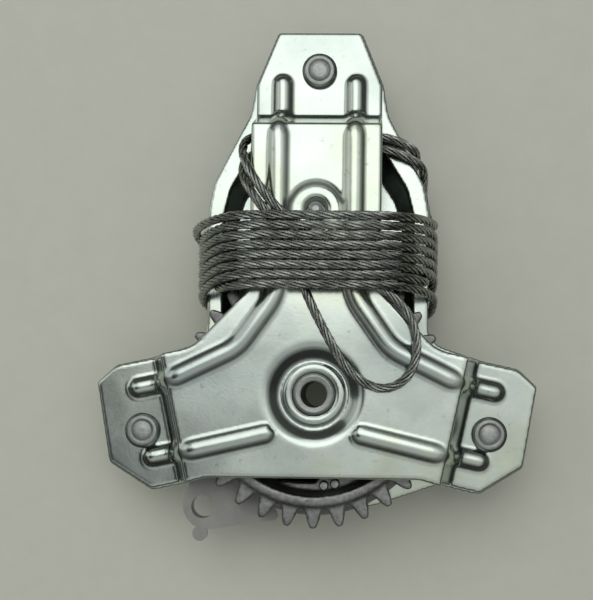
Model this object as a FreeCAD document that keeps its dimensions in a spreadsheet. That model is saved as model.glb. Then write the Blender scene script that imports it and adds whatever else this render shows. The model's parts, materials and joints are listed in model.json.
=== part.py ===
import FreeCAD, Part
import Sketcher
import math
import os

# Cable-type window regulator: a manual drive of two pressed steel plates with a geared cable drum.
# Frame: origin on the drum axle at the rear plate's flat tabs, X to the right, Y from the drum to
# the crank spindle, Z from the rear plate towards the front plate. Millimetres throughout.

V = FreeCAD.Vector
doc = FreeCAD.newDocument("WindowRegulator")

DIMENSIONS = {
    # Plates
    "sheet": 1.5,
    "deckheight": 15.0,
    "recessdepth": 6.0,
    "recesshalf": 24.2,
    "rearhalf": 28.1,
    "armhalf": 16.0,
    "walllean": 2.2,
    "ribwide": 5.0,
    "ribhigh": 1.4,
    "ribplace": 9.3,
    "armtilt": 12.0,
    "sideclear": 1.6,
    "jogglerun": 3.3,
    "topclear": 5.0,
    "topjogglerun": 4.4,
    "ribupper": 10.4,
    "riblower": 7.4,
    "ribendupper": 43.8,
    "ribendlower": 43.6,
    "ribbendx": 18.6,
    "ribbendy": 11.2,
    "ribbendtop": 24.4,
    "ribstartx": 11.6,
    "ribstarty": 9.6,
    "dishwide": 11.4,
    "dishfloor": 7.8,
    "dishdeep": 2.5,
    "pindish": 0.8,
    "pindishwide": 7.0,
    "dishcollar": 6.6,
    "dishcollarhalf": 1.3,
    # Outlines of the plates: places of corners on the right half
    "tophalf": 10.6,
    "tabend": 10.0,
    "tabside": 11.2,
    "armfoot": 25.6,
    "waistx": 29.6,
    "waisty": 11.2,
    "neckx": 41.6,
    "necky": 8.6,
    "tabshoulder": 7.1,
    "tabtop": 6.7,
    "tabcorner": 2.4,
    "skirtx": 34.2,
    "bellyx": 25.6,
    "bellyy": 20.3,
    "rearmargin": 0.3,
    "rearneckx": 17.6,
    "rearflarex": 26.8,
    "rearsidetop": 47.0,
    "rearsidefoot": 13.4,
    "rearskirtx": 31.0,
    "rearbellyx": 14.0,
    "rearbellyy": 28.4,
    "recesstopx": 11.6,
    "recessneckx": 14.8,
    "recessflarex": 22.4,
    "recesssidetop": 45.4,
    "recesssidefoot": 13.2,
    "recessbellyx": 10.2,
    # Gears
    "module": 2.0,
    "drumteeth": 31,
    "crankteeth": 14,
    "backlash": 0.16,
    "gearback": 3.2,
    "gearface": 7.0,
    "gearrim": 27.4,
    "gearriminner": 25.0,
    "gearrimproud": 0.7,
    "gearweb": 2.4,
    "windowinner": 11.5,
    "windowouter": 23.6,
    "windowturn": -118.0,
    "windows": 4,
    # Drum, its axle and bearings
    "axlehalf": 4.4,
    "axlebore": 3.2,
    "axlelip": 0.8,
    "bushwall": 1.2,
    "hubhalf": 8.4,
    "washer": 0.8,
    "washerhalf": 7.4,
    "endplay": 0.1,
    "running": 0.05,
    "seat": 0.02,
    "cable": 2.3,
    "woundradius": 19.4,
    "drumflange": 21.4,
    "grooves": 3,
    "groovepitch": 2.4,
    "drumhole": 13.4,
    "drumholehalf": 3.2,
    "rearflange": 0.7,
    # Crank spindle, brake and its bearings
    "spindlehalf": 4.6,
    "spindlejournal": 1.9,
    "spindleend": 17.0,
    "splinelong": 8.0,
    "splinecount": 18,
    "splinedeep": 0.35,
    "tappedhalf": 2.1,
    "tappeddeep": 9.0,
    "spindlebush": 6.4,
    "cupouter": 12.6,
    "cupwall": 1.0,
    "cuphigh": 8.2,
    "springwide": 1.6,
    "springturns": 3,
    "springgap": 0.25,
    "hubcrank": 7.0,
    # Studs
    "studhalf": 3.0,
    "studhead": 4.4,
    "studheadhigh": 1.7,
    "studcollar": 5.2,
    "studcollarhigh": 2.0,
    "studtip": 18.0,
    "topstud": 82.0,
    "sidestudx": 43.6,
    "sidestudy": 9.6,
    # Cable guide
    "guideouter": 30.4,
    "guideinner": 25.6,
    "guidethick": 1.1,
    "earx": 28.3,
    "eary": 28.7,
    "earradius": 6.3,
    "earbore": 2.9,
    "earthick": 4.4,
    "earboss": 4.6,
    "pegradius": 1.2,
    # Cable wraps
    "beltturns": 8,
    "beltfront": 19.5,
    "beltback": 7.8,
    "beltlow": 26.0,
    "beltshear": 8.0,
}

sheet = doc.addObject("Spreadsheet::Sheet", "Sizes")
for row, (alias, number) in enumerate(DIMENSIONS.items(), start=1):
    sheet.set("A%d" % row, alias)
    sheet.set("B%d" % row, "%g" % number)
    sheet.setAlias("B%d" % row, alias)
doc.recompute()


class Size:
    """A length or an angle that knows its number and the sheet expression behind it."""

    def __init__(self, number, text):
        self.number = float(number)
        self.text = text

    def join(self, other, sign, number, flip=False):
        other = as_size(other)
        first, second = (other, self) if flip else (self, other)
        return Size(number, "(%s %s %s)" % (first.text, sign, second.text))

    def __add__(self, other):
        return self.join(other, "+", self.number + float(other))

    def __radd__(self, other):
        return self.join(other, "+", self.number + float(other), flip=True)

    def __sub__(self, other):
        return self.join(other, "-", self.number - float(other))

    def __rsub__(self, other):
        return self.join(other, "-", float(other) - self.number, flip=True)

    def __mul__(self, other):
        return self.join(other, "*", self.number * float(other))

    def __rmul__(self, other):
        return self.join(other, "*", self.number * float(other), flip=True)

    def __truediv__(self, other):
        return self.join(other, "/", self.number / float(other))

    def __neg__(self):
        return Size(-self.number, "(0 - %s)" % self.text)

    def __float__(self):
        return self.number


def as_size(value):
    return value if isinstance(value, Size) else Size(value, "%.10g" % value)


def cosine(angle):
    return Size(math.cos(math.radians(float(angle))), "cos(%s)" % as_size(angle).text)


def sine(angle):
    return Size(math.sin(math.radians(float(angle))), "sin(%s)" % as_size(angle).text)


class Sheet:
    """The sheet's cells by name, each as a Size."""

    def __getattr__(self, alias):
        return Size(sheet.get(alias), "Sizes." + alias)


S = Sheet()

# Heights along Z, from the plates inwards
RIM = S.sheet
TAB = S.sheet * 2
DECK = S.deckheight
DECK_BACK = DECK - S.sheet
FLOOR = -S.recessdepth
FLOOR_BACK = FLOOR - S.sheet
DISH = DECK - S.dishdeep
DISH_BACK = DISH - S.sheet
GEAR_FRONT = S.gearback + S.gearface
HUB_FRONT = DISH_BACK - S.washer - S.endplay * 2
DRUM_BACK = FLOOR + S.washer + S.endplay * 2
# Radii of the gears and their centre distance
DRUM_PITCH = S.module * S.drumteeth / 2
CRANK_PITCH = S.module * S.crankteeth / 2
CENTRES = DRUM_PITCH + CRANK_PITCH
# The front plate's joggles stand clear of the gears' tips
JOGGLE_OUT = DRUM_PITCH + S.module + S.sideclear
TOP_JOGGLE = CENTRES + CRANK_PITCH + S.module + S.topclear
BUSH_INNER = S.axlehalf + S.running
BUSH_OUTER = BUSH_INNER + S.bushwall

finished = []


def bind(item, name, size):
    """Bind a property or a constraint to the sheet."""
    item.setExpression(name, as_size(size).text)


def new_body(label):
    body = doc.addObject("PartDesign::Body", label)
    body.Label = label
    finished.append(body)
    return body


def new_sketch(body, plane, height=0):
    """A sketch on one of the body's origin planes, raised by a height bound to the sheet."""
    sketch = body.newObject("Sketcher::SketchObject", "Sketch")
    support = [item for item in body.Origin.OriginFeatures if item.Role == plane][0]
    sketch.AttachmentSupport = [(support, "")]
    sketch.MapMode = "FlatFace"
    bind(sketch, "AttachmentOffset.Base.z", height)
    return sketch


def place_point(sketch, index, end, x, y):
    """Fix a vertex of the sketch at x, y from the sheet."""
    for kind, value in (("DistanceX", as_size(x)), ("DistanceY", as_size(y))):
        rule = Sketcher.Constraint(kind, -1, 1, index, end, value.number)
        bind(sketch, "Constraints[%d]" % sketch.addConstraint(rule), value)


def draw_polygon(sketch, corners):
    """A closed outline of straight lines through corners (x, y)."""
    spots = [V(float(x), float(y), 0) for x, y in corners]
    count = len(spots)
    first = sketch.GeometryCount
    for i in range(count):
        sketch.addGeometry(Part.LineSegment(spots[i], spots[(i + 1) % count]), False)
    for i in range(count):
        following = first + (i + 1) % count
        sketch.addConstraint(Sketcher.Constraint("Coincident", first + i, 2, following, 1))
    for i, (x, y) in enumerate(corners):
        place_point(sketch, first + i, 1, x, y)


def corner_arc(before, corner, after, radius):
    """Start, crown and end of the arc that rounds a corner between its two neighbours."""
    back = (before - corner).normalize()
    ahead = (after - corner).normalize()
    half = back.getAngle(ahead) / 2
    reach = radius / math.tan(half)
    crown = corner + (back + ahead).normalize() * (radius / math.sin(half) - radius)
    return corner + back * reach, crown, corner + ahead * reach


def rounded_edges(corners, height=0):
    """Arcs and lines of a closed outline through corners (x, y, radius)."""
    spots = [V(float(x), float(y), height) for x, y, radius in corners]
    count = len(spots)
    arcs = []
    for i in range(count):
        arcs.append(corner_arc(spots[i - 1], spots[i], spots[(i + 1) % count], float(corners[i][2])))
    edges = []
    for i in range(count):
        edges.append(Part.Arc(*arcs[i]))
        edges.append(Part.LineSegment(arcs[i][2], arcs[(i + 1) % count][0]))
    return edges


def draw_rounded(sketch, corners):
    """A closed outline through corners (x, y, radius) with tangent arcs in the round corners."""
    for edge in rounded_edges(corners):
        index = sketch.addGeometry(edge, False)
        sketch.addConstraint(Sketcher.Constraint("Block", index))


def draw_circle(sketch, x, y, radius):
    """A circle whose centre and radius come from the sheet."""
    shape = Part.Circle(V(float(x), float(y), 0), V(0, 0, 1), float(radius))
    index = sketch.addGeometry(shape, False)
    place_point(sketch, index, 3, x, y)
    rule = Sketcher.Constraint("Radius", index, float(radius))
    bind(sketch, "Constraints[%d]" % sketch.addConstraint(rule), radius)


def pad(body, sketch, length, taper=0, reversed_way=False):
    feature = body.newObject("PartDesign::Pad", "Pad")
    feature.Profile = sketch
    bind(feature, "Length", length)
    bind(feature, "TaperAngle", taper)
    feature.Reversed = reversed_way
    sketch.Visibility = False
    doc.recompute()
    return feature


def pocket(body, sketch, length, taper=0, reversed_way=False):
    feature = body.newObject("PartDesign::Pocket", "Pocket")
    feature.Profile = sketch
    before = body.Shape.Volume
    bind(feature, "Length", length)
    bind(feature, "TaperAngle", taper)
    feature.Reversed = reversed_way
    doc.recompute()
    if body.Shape.Volume > before - 1e-6:
        raise RuntimeError("a pocket in %s cuts nothing" % body.Label)
    return feature


def lofted(body, kind, first, first_height, second, second_height):
    """Add or take away a straight-sided form between two rounded outlines."""
    low = new_sketch(body, "XY_Plane", first_height)
    draw_rounded(low, first)
    high = new_sketch(body, "XY_Plane", second_height)
    draw_rounded(high, second)
    feature = body.newObject("PartDesign::" + kind, kind)
    feature.Profile = low
    feature.Sections = [high]
    feature.Ruled = True
    doc.recompute()
    return feature


def turned(label, profile, x=0, y=0):
    """A piece turned about its own Z axis from a profile of corners (radius, height)."""
    body = new_body(label)
    sketch = new_sketch(body, "XZ_Plane")
    draw_polygon(sketch, profile)
    feature = body.newObject("PartDesign::Revolution", "Revolution")
    feature.Profile = sketch
    feature.ReferenceAxis = (sketch, ["V_Axis"])
    feature.Angle = 360
    bind(body, "Placement.Base.x", x)
    bind(body, "Placement.Base.y", y)
    doc.recompute()
    return body


def repeat(body, feature, count):
    """Copies of a feature round the body's Z axis."""
    pattern = body.newObject("PartDesign::PolarPattern", "PolarPattern")
    pattern.Originals = [feature]
    axis = [item for item in body.Origin.OriginFeatures if item.Role == "Z_Axis"][0]
    pattern.Axis = (axis, [""])
    pattern.Angle = 360
    bind(pattern, "Occurrences", count)
    body.Tip = pattern
    doc.recompute()
    return pattern


def shaped(label, solid):
    """A piece whose form is worked out from the sheet's values."""
    feature = doc.addObject("Part::Feature", label)
    feature.Label = label
    feature.Shape = solid
    finished.append(feature)
    return feature


# Involute teeth

def involute_point(base, radius, offset):
    """A point of the involute at a radius, turned by an offset from the tooth's middle line."""
    roll = math.sqrt(max(radius * radius / (base * base) - 1, 0))
    angle = roll - math.atan(roll)
    return V(radius * math.cos(offset - angle), radius * math.sin(offset - angle), 0)


def gear_tooth(sketch, teeth, turn):
    """One tooth drawn on the blank, flanks as arcs through three points of the involute."""
    module = float(S.module)
    pressure = math.radians(20)
    pitch = module * float(teeth) / 2
    base = pitch * math.cos(pressure)
    tip = pitch + module * 0.96
    root = pitch - module * 1.25
    spread = math.tan(pressure) - pressure
    half = math.pi / (2 * float(teeth)) - float(S.backlash) / (2 * pitch)
    start = max(base, root)
    flank = [involute_point(base, r, half + spread) for r in (start, (start + tip) / 2, tip)]
    sunk = root - 0.4
    foot_angle = half + spread + (0.03 if base > root else 0.0)
    foot = V(sunk * math.cos(foot_angle), sunk * math.sin(foot_angle), 0)
    crown = V(tip + module * 0.04, 0, 0)
    other = [V(p.x, -p.y, 0) for p in flank]
    other_foot = V(foot.x, -foot.y, 0)
    about = FreeCAD.Rotation(V(0, 0, 1), turn)
    edges = [
        Part.LineSegment(about.multVec(foot), about.multVec(flank[0])),
        Part.Arc(*[about.multVec(p) for p in flank]),
        Part.Arc(*[about.multVec(p) for p in (flank[2], crown, other[2])]),
        Part.Arc(*[about.multVec(p) for p in reversed(other)]),
        Part.LineSegment(about.multVec(other[0]), about.multVec(other_foot)),
        Part.LineSegment(about.multVec(other_foot), about.multVec(foot)),
    ]
    for edge in edges:
        index = sketch.addGeometry(edge, False)
        sketch.addConstraint(Sketcher.Constraint("Block", index))


# Outlines of the plates, right halves from top to bottom; mirrored() adds the left halves

def mirrored(half_outline):
    """The closed outline from its right half, whose corners are (x, y, radius)."""
    left = [(-x, y, radius) for x, y, radius in reversed(half_outline)]
    return list(half_outline) + left


TOP_TAB = S.topstud + S.tabend
TAB_OUT = S.sidestudx + S.tabside
TAB_FOOT = -S.sidestudy - 14.7
FRONT_HALF = [
    (S.tophalf, TOP_TAB, 0.7),
    (S.armhalf, S.topstud - 3.4, 3.0),
    (S.armhalf, S.armfoot, 9.0),
    (S.waistx, S.waisty, 10.0),
    (S.neckx, S.necky, 2.0),
    (S.sidestudx + S.tabshoulder, S.tabtop, 2.0),
    (TAB_OUT + 0.8, S.tabcorner, 0.8),
    (TAB_OUT - 2.6, -S.sidestudy - 8.0, 0.8),
    (S.sidestudx - 2.2, TAB_FOOT, 1.2),
    (S.skirtx, TAB_FOOT + 1.6, 4.0),
    (S.bellyx, -S.bellyy, 6.0),
]
REAR_HALF = [
    (S.tophalf + S.rearmargin, TOP_TAB + S.rearmargin, 0.7),
    (S.armhalf + 0.4, S.topstud - 3.2, 3.0),
    (S.rearneckx, TOP_JOGGLE + 5.4, 8.0),
    (S.rearflarex, TOP_JOGGLE - 12.4, 8.0),
    (S.rearhalf, S.rearsidetop, 6.0),
    (S.rearhalf, S.rearsidefoot, 6.0),
    (S.neckx + S.rearmargin, S.necky + S.rearmargin, 2.0),
    (S.sidestudx + S.tabshoulder + 0.2, S.tabtop + S.rearmargin, 2.0),
    (TAB_OUT + 1.0, S.tabcorner + 0.2, 0.8),
    (TAB_OUT - 2.4, -S.sidestudy - 8.4, 0.8),
    (S.sidestudx - 2.2, TAB_FOOT - 0.6, 1.2),
    (S.rearskirtx, TAB_FOOT + 1.7, 6.0),
    (S.rearbellyx, -S.rearbellyy, 14.0),
]
RECESS_HALF = [
    (S.recesstopx, TOP_JOGGLE + 1.0, 4.0),
    (S.recessneckx, TOP_JOGGLE - 1.6, 6.0),
    (S.recessflarex, TOP_JOGGLE - 13.6, 7.0),
    (S.recesshalf, S.recesssidetop, 8.0),
    (S.recesshalf, -S.recesssidefoot, 14.0),
    (S.recessbellyx, -S.recesshalf, 12.0),
]


def outline_face(corners, height):
    """A flat face inside an outline with rounded corners."""
    return Part.Face(Part.Wire([edge.toShape() for edge in rounded_edges(corners, height)]))


def arc_path(points, radii):
    """A wire of straight runs joined by tangent arcs."""
    spots = [V(*[float(c) for c in point]) for point in points]
    edges = []
    at = spots[0]
    for i in range(1, len(spots) - 1):
        start, crown, finish = corner_arc(spots[i - 1], spots[i], spots[i + 1], radii[i - 1])
        edges.append(Part.LineSegment(at, start).toShape())
        edges.append(Part.Arc(start, crown, finish).toShape())
        at = finish
    edges.append(Part.LineSegment(at, spots[-1]).toShape())
    return Part.Wire(edges)


def pipe(path, radius):
    """A round bar along a path, with rounded ends."""
    start = path.Edges[0]
    along = start.tangentAt(start.FirstParameter)
    profile = Part.Wire(Part.Circle(start.valueAt(start.FirstParameter), along, radius).toShape())
    bar = path.makePipeShell([profile], True, False)
    for edge, parameter in ((start, start.FirstParameter), (path.Edges[-1], path.Edges[-1].LastParameter)):
        bar = bar.fuse(Part.makeSphere(radius, edge.valueAt(parameter)))
    return bar


# Front plate: deck, three joggled tabs, pressed ribs and the dish round the drum axle

RIB_RADIUS = (S.ribwide * S.ribwide / 4 + S.ribhigh * S.ribhigh) / (S.ribhigh * 2).number
RIB_DEEP = RIB_RADIUS - S.ribhigh


def deck_block(drop):
    """Everything below the front plate's front face, moved down by a drop."""
    top = float(DECK) - drop
    low = float(TAB) - drop
    reach = 80.0
    block = Part.makeBox(2 * reach, 2 * reach + 40, top + reach, V(-reach, -reach, -reach))
    lean = drop * math.tan(math.atan2(float(DECK - TAB), float(S.jogglerun)) / 2)
    out = float(JOGGLE_OUT) - lean
    over = float(S.jogglerun)
    for side in (-1, 1):
        profile = Part.makePolygon([
            V(out, -reach, top), V(out + over, -reach, low), V(2 * reach, -reach, low),
            V(2 * reach, -reach, top + 1), V(out, -reach, top + 1), V(out, -reach, top),
        ])
        step = Part.Face(profile).extrude(V(0, 2 * reach, 0))
        step.rotate(V(0, 0, 0), V(0, 0, 1), -float(S.armtilt))
        if side < 0:
            step = step.mirror(V(0, 0, 0), V(1, 0, 0))
        block = block.cut(step)
    lean_top = drop * math.tan(math.atan2(float(DECK - TAB), float(S.topjogglerun)) / 2)
    out = float(TOP_JOGGLE) - lean_top
    over = float(S.topjogglerun)
    profile = Part.makePolygon([
        V(-reach, out, top), V(-reach, out + over, low), V(-reach, 2 * reach, low),
        V(-reach, 2 * reach, top + 1), V(-reach, out, top + 1), V(-reach, out, top),
    ])
    return block.cut(Part.Face(profile).extrude(V(2 * reach, 0, 0)))


def rib_paths():
    """Middle lines of the ribs, sunk below the front face."""
    deep = float(RIB_DEEP)
    top = float(DECK) - deep
    low = float(TAB) - deep
    place = float(S.ribplace)
    lean = deep * math.tan(math.atan2(float(DECK - TAB), float(S.topjogglerun)) / 2)
    foot = float(TOP_JOGGLE + S.topjogglerun) - lean
    tilt = math.radians(float(S.armtilt))
    side_lean = deep * math.tan(math.atan2(float(DECK - TAB), float(S.jogglerun)) / 2)
    out = float(JOGGLE_OUT) - side_lean

    def on_arm(along, across, height):
        """A point of the right arm from its distance outwards and across."""
        x = along * math.cos(tilt) + across * math.sin(tilt)
        y = -along * math.sin(tilt) + across * math.cos(tilt)
        return (x, y, height)

    high = float(S.ribupper)
    lower = -float(S.riblower)
    upper_rib = arc_path([
        (place, float(S.topstud) - 3.2, low),
        (place, foot, low),
        (place, foot - float(S.topjogglerun), top),
        (place, float(S.ribbendtop), top),
        (float(S.ribbendx), float(S.ribbendy), top),
        on_arm(out, high, top),
        on_arm(out + float(S.jogglerun), high, low),
        on_arm(float(S.ribendupper), high, low),
    ], [1.6, 3.4, 12.0, 12.0, 3.4, 1.6])
    lower_rib = arc_path([
        (float(S.ribstartx), -float(S.ribstarty), top),
        on_arm(out, lower, top),
        on_arm(out + float(S.jogglerun), lower, low),
        on_arm(float(S.ribendlower), lower, low),
    ], [3.4, 1.6])
    return upper_rib, lower_rib


def front_plate():
    thick = float(S.sheet)
    outer = deck_block(0)
    inner = deck_block(thick)
    for path in rib_paths():
        for side in (1, -1):
            bar = pipe(path, float(RIB_RADIUS))
            groove = pipe(path, float(RIB_RADIUS) - thick)
            if side < 0:
                bar = bar.mirror(V(0, 0, 0), V(1, 0, 0))
                groove = groove.mirror(V(0, 0, 0), V(1, 0, 0))
            outer = outer.fuse(bar)
            inner = inner.fuse(groove)
    # Dish round the axle, with a raised collar in its floor
    top = float(DECK)
    floor = float(DISH)
    wide = float(S.dishwide)
    flat = float(S.dishfloor)
    slope = (wide - flat) / (top - floor)
    outer = outer.cut(Part.makeCone(flat, wide + slope, top - floor + 1, V(0, 0, floor)))
    under = Part.makeCone(flat + thick * 0.8, wide + thick * 0.8, top - floor, V(0, 0, floor - thick))
    inner = inner.cut(under)
    collar = Part.makeTorus(float(S.dishcollar), float(S.dishcollarhalf), V(0, 0, floor - 0.1))
    outer = outer.fuse(collar)
    # Shallow dish and guide hole round the spindle's front journal
    centre = V(0, float(CENTRES), 0)
    shallow = float(S.pindish)
    broad = float(S.pindishwide)
    outer = outer.cut(Part.makeCone(broad - 1.2, broad + 1.2, 2 * shallow, centre + V(0, 0, top - shallow)))
    below = centre + V(0, 0, top - shallow - thick)
    inner = inner.cut(Part.makeCone(broad - 0.6, broad + 1.8, 2 * shallow, below))
    solid = outer.cut(inner)
    prism = outline_face(mirrored(FRONT_HALF), -20).extrude(V(0, 0, 60))
    solid = solid.common(prism)
    holes = [Part.makeCylinder(float(S.axlehalf + S.seat), 60, V(0, 0, -20))]
    journal = float(S.spindlejournal + S.running * 2)
    holes.append(Part.makeCylinder(journal, 60, centre + V(0, 0, -20)))
    holes.append(Part.makeCone(journal, journal + 1.9, 1.5, centre + V(0, 0, top - 1.9)))
    for x, y in stud_places():
        holes.append(Part.makeCylinder(float(S.studhalf + S.seat), 60, V(float(x), float(y), -20)))
    for hole in holes:
        solid = solid.cut(hole)
    pieces = sorted(solid.Solids, key=lambda item: item.Volume)
    return pieces[-1].removeSplitter()


def stud_places():
    return [(as_size(0), S.topstud), (-S.sidestudx, -S.sidestudy), (S.sidestudx, -S.sidestudy)]


shaped("front_plate", front_plate())

# Rear plate: flat rim and tabs round a recess that holds the drum and the brake

rear = new_body("rear_plate")
rim_sketch = new_sketch(rear, "XY_Plane")
draw_rounded(rim_sketch, mirrored(REAR_HALF))
pad(rear, rim_sketch, RIM)


def grown(half_outline, margin):
    """An outline moved outwards by a margin at its sides, top and bottom."""
    middle = as_size(20)
    moved = []
    for x, y, radius in half_outline:
        shift = margin if float(y) > float(middle) else -margin
        moved.append((x + margin, y + shift, radius))
    return moved


WALL = S.sheet * 0.95
lofted(rear, "AdditiveLoft", mirrored(grown(RECESS_HALF, WALL)), RIM - 0.05,
       mirrored(grown(RECESS_HALF, WALL - S.walllean)), FLOOR_BACK)
lofted(rear, "SubtractiveLoft", mirrored(RECESS_HALF), RIM,
       mirrored(grown(RECESS_HALF, -S.walllean)), FLOOR)
hole_sketch = new_sketch(rear, "XY_Plane", RIM)
for stud_x, stud_y in stud_places():
    draw_circle(hole_sketch, stud_x, stud_y, S.studhalf + S.seat)
for side in (-1, 1):
    draw_circle(hole_sketch, side * (S.guideinner + 1.2), as_size(2), S.pegradius + S.running)
pocket(rear, hole_sketch, S.sheet * 2)
bore_sketch = new_sketch(rear, "XY_Plane", FLOOR + 1)
draw_circle(bore_sketch, 0, 0, S.axlehalf + S.seat)
draw_circle(bore_sketch, 0, CENTRES, S.spindlebush - S.bushwall + S.seat)
pocket(rear, bore_sketch, S.sheet * 3)

# Mounting studs, riveted through both plates at the three tabs

for name, (stud_x, stud_y) in zip(("top", "left", "right"), stud_places()):
    head = TAB + S.seat
    turned("mount_stud_" + name, [
        (as_size(0), -S.studtip),
        (S.studhalf - 0.7, -S.studtip),
        (S.studhalf, 0.7 - S.studtip),
        (S.studhalf, -S.studcollarhigh),
        (S.studcollar - 0.4, -S.studcollarhigh),
        (S.studcollar, 0.4 - S.studcollarhigh),
        (S.studcollar, -S.seat),
        (S.studhalf, -S.seat),
        (S.studhalf, head),
        (S.studhead, head),
        (S.studhead, head + S.studheadhigh * 0.55),
        (S.studhead - 0.6, head + S.studheadhigh * 0.9),
        (S.studhead - 1.3, head + S.studheadhigh),
        (as_size(0), head + S.studheadhigh),
    ], stud_x, stud_y)

# Drum axle: a tube flared over both plates

turned("drum_axle", [
    (S.axlebore, FLOOR_BACK - 0.7),
    (S.axlehalf + S.axlelip, FLOOR_BACK - 0.7),
    (S.axlehalf + S.axlelip, FLOOR_BACK - S.seat),
    (S.axlehalf, FLOOR_BACK - S.seat),
    (S.axlehalf, DISH + S.seat),
    (S.axlehalf + S.axlelip, DISH + S.seat),
    (S.axlehalf + S.axlelip, DISH + 0.7),
    (S.axlehalf + 0.3, DISH + 1.1),
    (S.axlebore, DISH + 1.1),
])
turned("drum_bush", [
    (BUSH_INNER, DRUM_BACK),
    (BUSH_OUTER, DRUM_BACK),
    (BUSH_OUTER, HUB_FRONT),
    (BUSH_INNER, HUB_FRONT),
])
for name, bottom in (("rear", FLOOR + S.endplay), ("front", HUB_FRONT + S.endplay)):
    turned("drum_washer_" + name, [
        (BUSH_INNER, bottom),
        (S.washerhalf, bottom),
        (S.washerhalf, bottom + S.washer),
        (BUSH_INNER, bottom + S.washer),
    ])

# Drum gear: cast wheel with a raised rim, a windowed web and a hub

DRUM_ROOT = DRUM_PITCH - S.module * 1.25
gear = new_body("drum_gear")
profile_sketch = new_sketch(gear, "XZ_Plane")
draw_polygon(profile_sketch, [
    (BUSH_OUTER + S.seat, S.gearback),
    (DRUM_ROOT, S.gearback),
    (DRUM_ROOT, GEAR_FRONT),
    (S.gearrim + 0.3, GEAR_FRONT),
    (S.gearrim, GEAR_FRONT + S.gearrimproud),
    (S.gearriminner, GEAR_FRONT + S.gearrimproud),
    (S.gearriminner - 0.8, S.gearback + S.gearweb),
    (S.hubhalf + 0.6, S.gearback + S.gearweb),
    (S.hubhalf, HUB_FRONT - 0.4),
    (S.hubhalf - 0.4, HUB_FRONT),
    (BUSH_OUTER + S.seat, HUB_FRONT),
])
blank = gear.newObject("PartDesign::Revolution", "Revolution")
blank.Profile = profile_sketch
blank.ReferenceAxis = (profile_sketch, ["V_Axis"])
doc.recompute()
tooth_sketch = new_sketch(gear, "XY_Plane", S.gearback)
gear_tooth(tooth_sketch, S.drumteeth, -90)
tooth = pad(gear, tooth_sketch, S.gearface)
repeat(gear, tooth, S.drumteeth)


def window_sketch(body, height, middle, spread, inner, outer):
    """A window of the web between two radii, with straight sides along the spokes."""
    sketch = new_sketch(body, "XY_Plane", height)
    corners = []
    for radius, side in ((inner, -1), (outer, -1), (outer, 1), (inner, 1)):
        angle = middle + side * spread
        corners.append((radius * cosine(angle), radius * sine(angle), as_size(1.6)))
    far = (outer + 2.2) * cosine(middle), (outer + 2.2) * sine(middle), as_size(6.0)
    corners.insert(2, far)
    draw_rounded(sketch, corners)
    return sketch


window = window_sketch(gear, S.gearback + S.gearweb, S.windowturn, 31, S.windowinner, S.windowouter - 1.4)
gear_window = pocket(gear, window, S.gearweb)
repeat(gear, gear_window, S.windows)

# Cable drum: grooved spool behind the gear, riveted to its web

CREST = as_size(0.8)
groove_half = S.cable / 2 + S.running
spool = [
    (BUSH_OUTER + S.seat, DRUM_BACK),
    (S.drumflange, DRUM_BACK),
    (S.drumflange, DRUM_BACK + S.rearflange),
]
GROOVE_BASE = S.woundradius - groove_half
for groove in range(int(DIMENSIONS["grooves"])):
    middle = DRUM_BACK + S.rearflange + groove_half + groove * S.groovepitch
    spool += [
        (GROOVE_BASE + CREST, middle - groove_half * 0.86),
        (GROOVE_BASE, middle - groove_half * 0.45),
        (GROOVE_BASE, middle + groove_half * 0.45),
        (GROOVE_BASE + CREST, middle + groove_half * 0.86),
    ]
spool += [
    (GROOVE_BASE + CREST, S.gearback - S.seat),
    (BUSH_OUTER + S.seat, S.gearback - S.seat),
]
drum = turned("cable_drum", spool)
drum_hole_sketch = new_sketch(drum, "XY_Plane", S.gearback)
draw_circle(drum_hole_sketch, S.drumhole * cosine(S.windowturn), S.drumhole * sine(S.windowturn),
            S.drumholehalf)
drum_opening = pocket(drum, drum_hole_sketch, S.gearback - DRUM_BACK)
repeat(drum, drum_opening, S.windows)

# Cable wound on the drum and the two crimped ends that hold it in the gear's web

WRAP_BACK = DRUM_BACK + S.rearflange + groove_half * 0.14 + S.running
WRAP_FRONT = WRAP_BACK + S.groovepitch * (S.grooves - 1) + S.cable
turned("drum_wraps", [
    (S.woundradius - groove_half + CREST + S.running, WRAP_BACK),
    (S.woundradius + S.cable / 2, WRAP_BACK),
    (S.woundradius + S.cable / 2, WRAP_FRONT),
    (S.woundradius - groove_half + CREST + S.running, WRAP_FRONT),
])

for end, angle in (("a", -83.8), ("b", -76.8)):
    turned("cable_nipple_" + end, [
        (as_size(0), S.gearback + S.gearweb + S.seat),
        (as_size(1.2), S.gearback + S.gearweb + S.seat),
        (as_size(1.2), S.gearback + S.gearweb + 2.0),
        (as_size(0.9), S.gearback + S.gearweb + 2.6),
        (as_size(0), S.gearback + S.gearweb + 2.8),
    ], (S.windowouter - 0.9) * cosine(angle), (S.windowouter - 0.9) * sine(angle))

# Drum rivets through the gear's web and the drum's flange

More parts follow.
